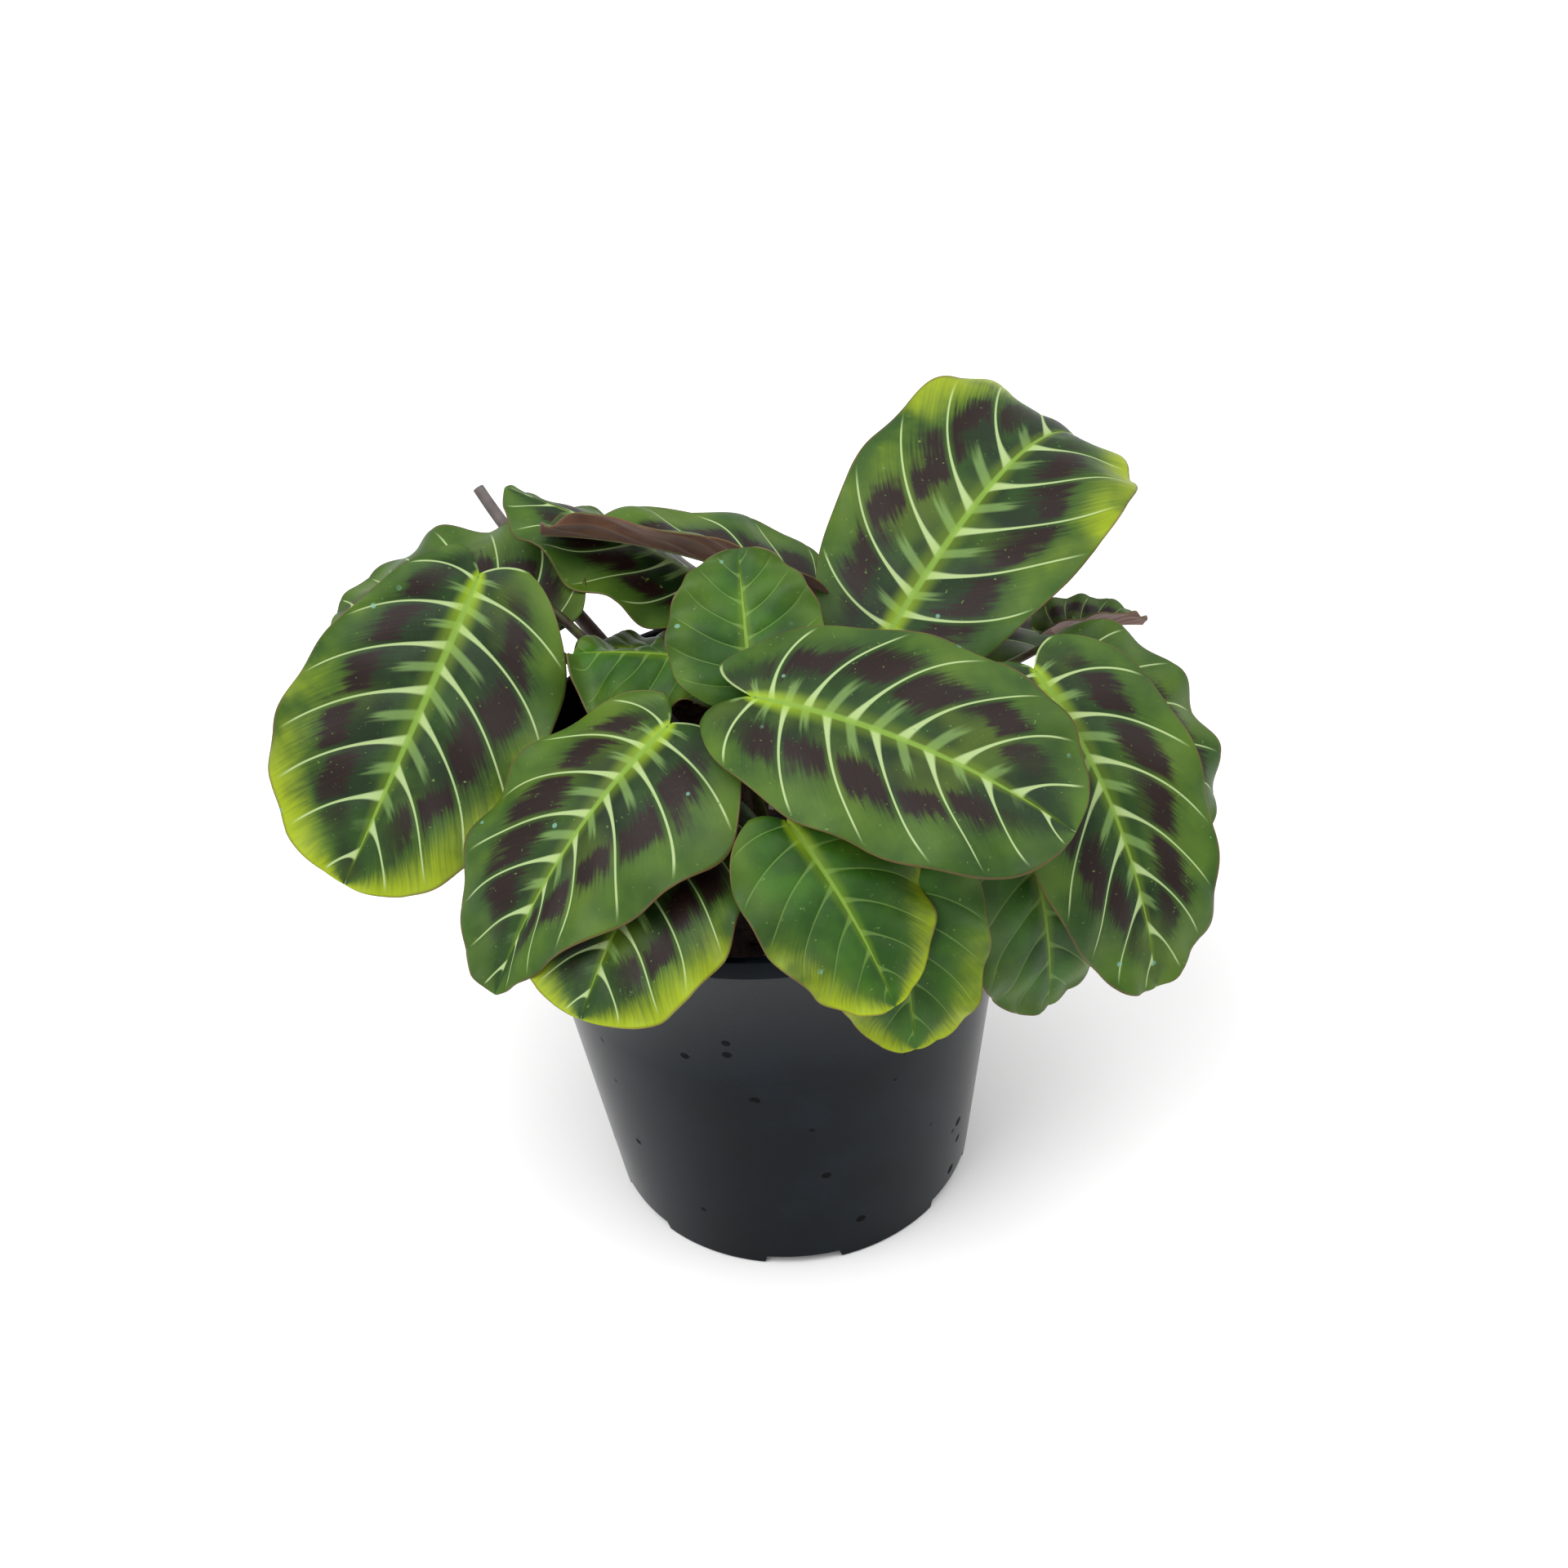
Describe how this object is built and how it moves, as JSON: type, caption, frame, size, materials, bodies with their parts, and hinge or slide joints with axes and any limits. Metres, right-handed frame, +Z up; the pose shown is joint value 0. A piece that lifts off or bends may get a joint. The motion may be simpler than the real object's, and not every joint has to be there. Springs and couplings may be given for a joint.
{
  "type": "potted prayer plant",
  "caption": "Low spreading prayer plant with broad oval leaves, pale feathered veins and dark maroon blotches, growing over the rim of a round tapered charcoal plastic nursery pot.",
  "frame": {"origin": "middle of the pot's foot ring, on the floor plane", "axes": "+Z up along the pot's axis; -Y is the front, where the leaves leave the pot wall bare; +X to the right seen from the front"},
  "size_m": [0.2375, 0.1822, 0.1917],
  "materials": {
    "pot": "fine-grained satin charcoal moulding",
    "soil": "dark fibrous potting soil",
    "leaf_marked": "satin green with pale veins and dark maroon blotches, red-brown beneath",
    "leaf_plain": "satin plain green with pale veins, red-brown beneath",
    "stalk": "green-brown stalk with fine hairs",
    "stem": "grey-purple stem with a pale green cut end"
  },
  "bodies": {
    "root": {"pot": "pot", "soil": "soil", "leaf_left": "leaf_marked", "leaf_left_rear": "leaf_marked", "leaf_rolled": "leaf_marked", "leaf_rear_left": "leaf_marked", "leaf_curly": "leaf_plain", "leaf_curly_rear": "leaf_plain", "leaf_lower_left": "leaf_marked", "leaf_round": "leaf_plain", "leaf_front": "leaf_marked", "leaf_tall": "leaf_marked", "leaf_right": "leaf_marked", "leaf_far_right": "leaf_marked", "leaf_far_right_rear": "leaf_marked", "leaf_rim_left": "leaf_marked", "leaf_rim_centre": "leaf_plain", "leaf_rim_right": "leaf_plain", "leaf_low_right": "leaf_plain", "leaf_back_centre": "leaf_marked", "leaf_back_right": "leaf_marked", "petiole_left": "stalk", "petiole_left_rear": "stalk", "petiole_rolled": "stalk", "petiole_rear_left": "stalk", "petiole_curly": "stalk", "petiole_curly_rear": "stalk", "petiole_lower_left": "stalk", "petiole_round": "stalk", "petiole_front": "stalk", "petiole_tall": "stalk", "petiole_right": "stalk", "petiole_far_right": "stalk", "petiole_far_right_rear": "stalk", "petiole_rim_left": "stalk", "petiole_rim_centre": "stalk", "petiole_rim_right": "stalk", "petiole_low_right": "stalk", "petiole_back_centre": "stalk", "petiole_back_right": "stalk", "stem_cut": "stem"}
  },
  "joints": []
}
